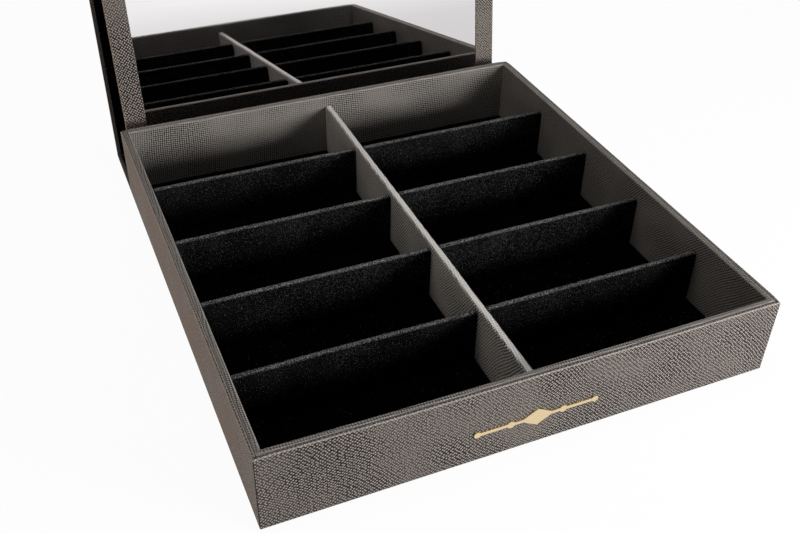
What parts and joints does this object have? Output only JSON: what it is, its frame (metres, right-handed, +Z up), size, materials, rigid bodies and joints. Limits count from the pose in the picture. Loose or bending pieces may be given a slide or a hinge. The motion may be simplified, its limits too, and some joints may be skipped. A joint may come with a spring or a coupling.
{
  "type": "eyeglasses display box",
  "caption": "Divided display tray for eyeglasses with a book-style cover and a loose framed mirror that stands behind it.",
  "frame": {"origin": "centre of the tray's underside, on the surface it stands on", "axes": "+X to the right seen from the front, +Y towards the cover and mirror at the back, +Z up"},
  "size_m": [0.36, 0.4492, 0.3888],
  "materials": {
    "wrap_leatherette": "embossed leatherette, satin",
    "lining_leatherette": "embossed leatherette, satin",
    "frame_leatherette": "embossed leatherette, satin",
    "cover_leatherette": "embossed leatherette, dark, satin",
    "black_velvet": "short pile velvet",
    "hinge_cloth": "woven bookcloth",
    "silvered_glass": "polished",
    "greyboard": "uncoated board",
    "gold_plated_brass": "polished plate"
  },
  "bodies": {
    "tray": {"case_base": "wrap_leatherette", "bottom_board": "greyboard", "centre_divider": "lining_leatherette", "front_ornament": "gold_plated_brass", "outer_wall_front": "wrap_leatherette", "outer_wall_right": "wrap_leatherette", "outer_wall_back": "wrap_leatherette", "outer_wall_left": "wrap_leatherette", "lining_wall_front": "lining_leatherette", "lining_wall_right": "lining_leatherette", "lining_wall_back": "lining_leatherette", "lining_wall_left": "lining_leatherette", "cross_divider_left_1": "black_velvet", "cross_divider_left_2": "black_velvet", "cross_divider_left_3": "black_velvet", "cross_divider_left_4": "black_velvet", "cross_divider_right_1": "black_velvet", "cross_divider_right_2": "black_velvet", "cross_divider_right_3": "black_velvet", "cross_divider_right_4": "black_velvet", "floor_pad_left_1": "black_velvet", "floor_pad_left_2": "black_velvet", "floor_pad_left_3": "black_velvet", "floor_pad_left_4": "black_velvet", "floor_pad_left_5": "black_velvet", "floor_pad_right_1": "black_velvet", "floor_pad_right_2": "black_velvet", "floor_pad_right_3": "black_velvet", "floor_pad_right_4": "black_velvet", "floor_pad_right_5": "black_velvet"},
    "cover_spine": {"spine_board": "cover_leatherette", "spine_lining": "black_velvet", "lower_hinge_cloth": "hinge_cloth", "upper_hinge_cloth": "hinge_cloth"},
    "cover_lid": {"lid_board": "cover_leatherette", "lid_lining": "black_velvet"},
    "mirror_panel": {"mirror_bar_bottom": "frame_leatherette", "mirror_bar_right": "frame_leatherette", "mirror_bar_top": "frame_leatherette", "mirror_bar_left": "frame_leatherette", "mirror_glass": "silvered_glass", "mirror_backing": "greyboard"}
  },
  "joints": [
    {"name": "spine_hinge", "type": "hinge", "parent": "tray", "child": "cover_spine", "pos_m": [0, 0.1938, 0.002], "axis": [1, 0, 0], "range_deg": [0, 7]},
    {"name": "lid_hinge", "type": "hinge", "parent": "cover_spine", "child": "cover_lid", "pos_m": [0, 0.2548, 0], "axis": [1, 0, 0], "range_deg": [-90, 0]},
    {"name": "mirror_tilt", "type": "hinge", "parent": "cover_spine", "child": "mirror_panel", "pos_m": [0, 0.20512, 0.0028], "axis": [1, 0, 0], "range_deg": [0, 6]}
  ]
}
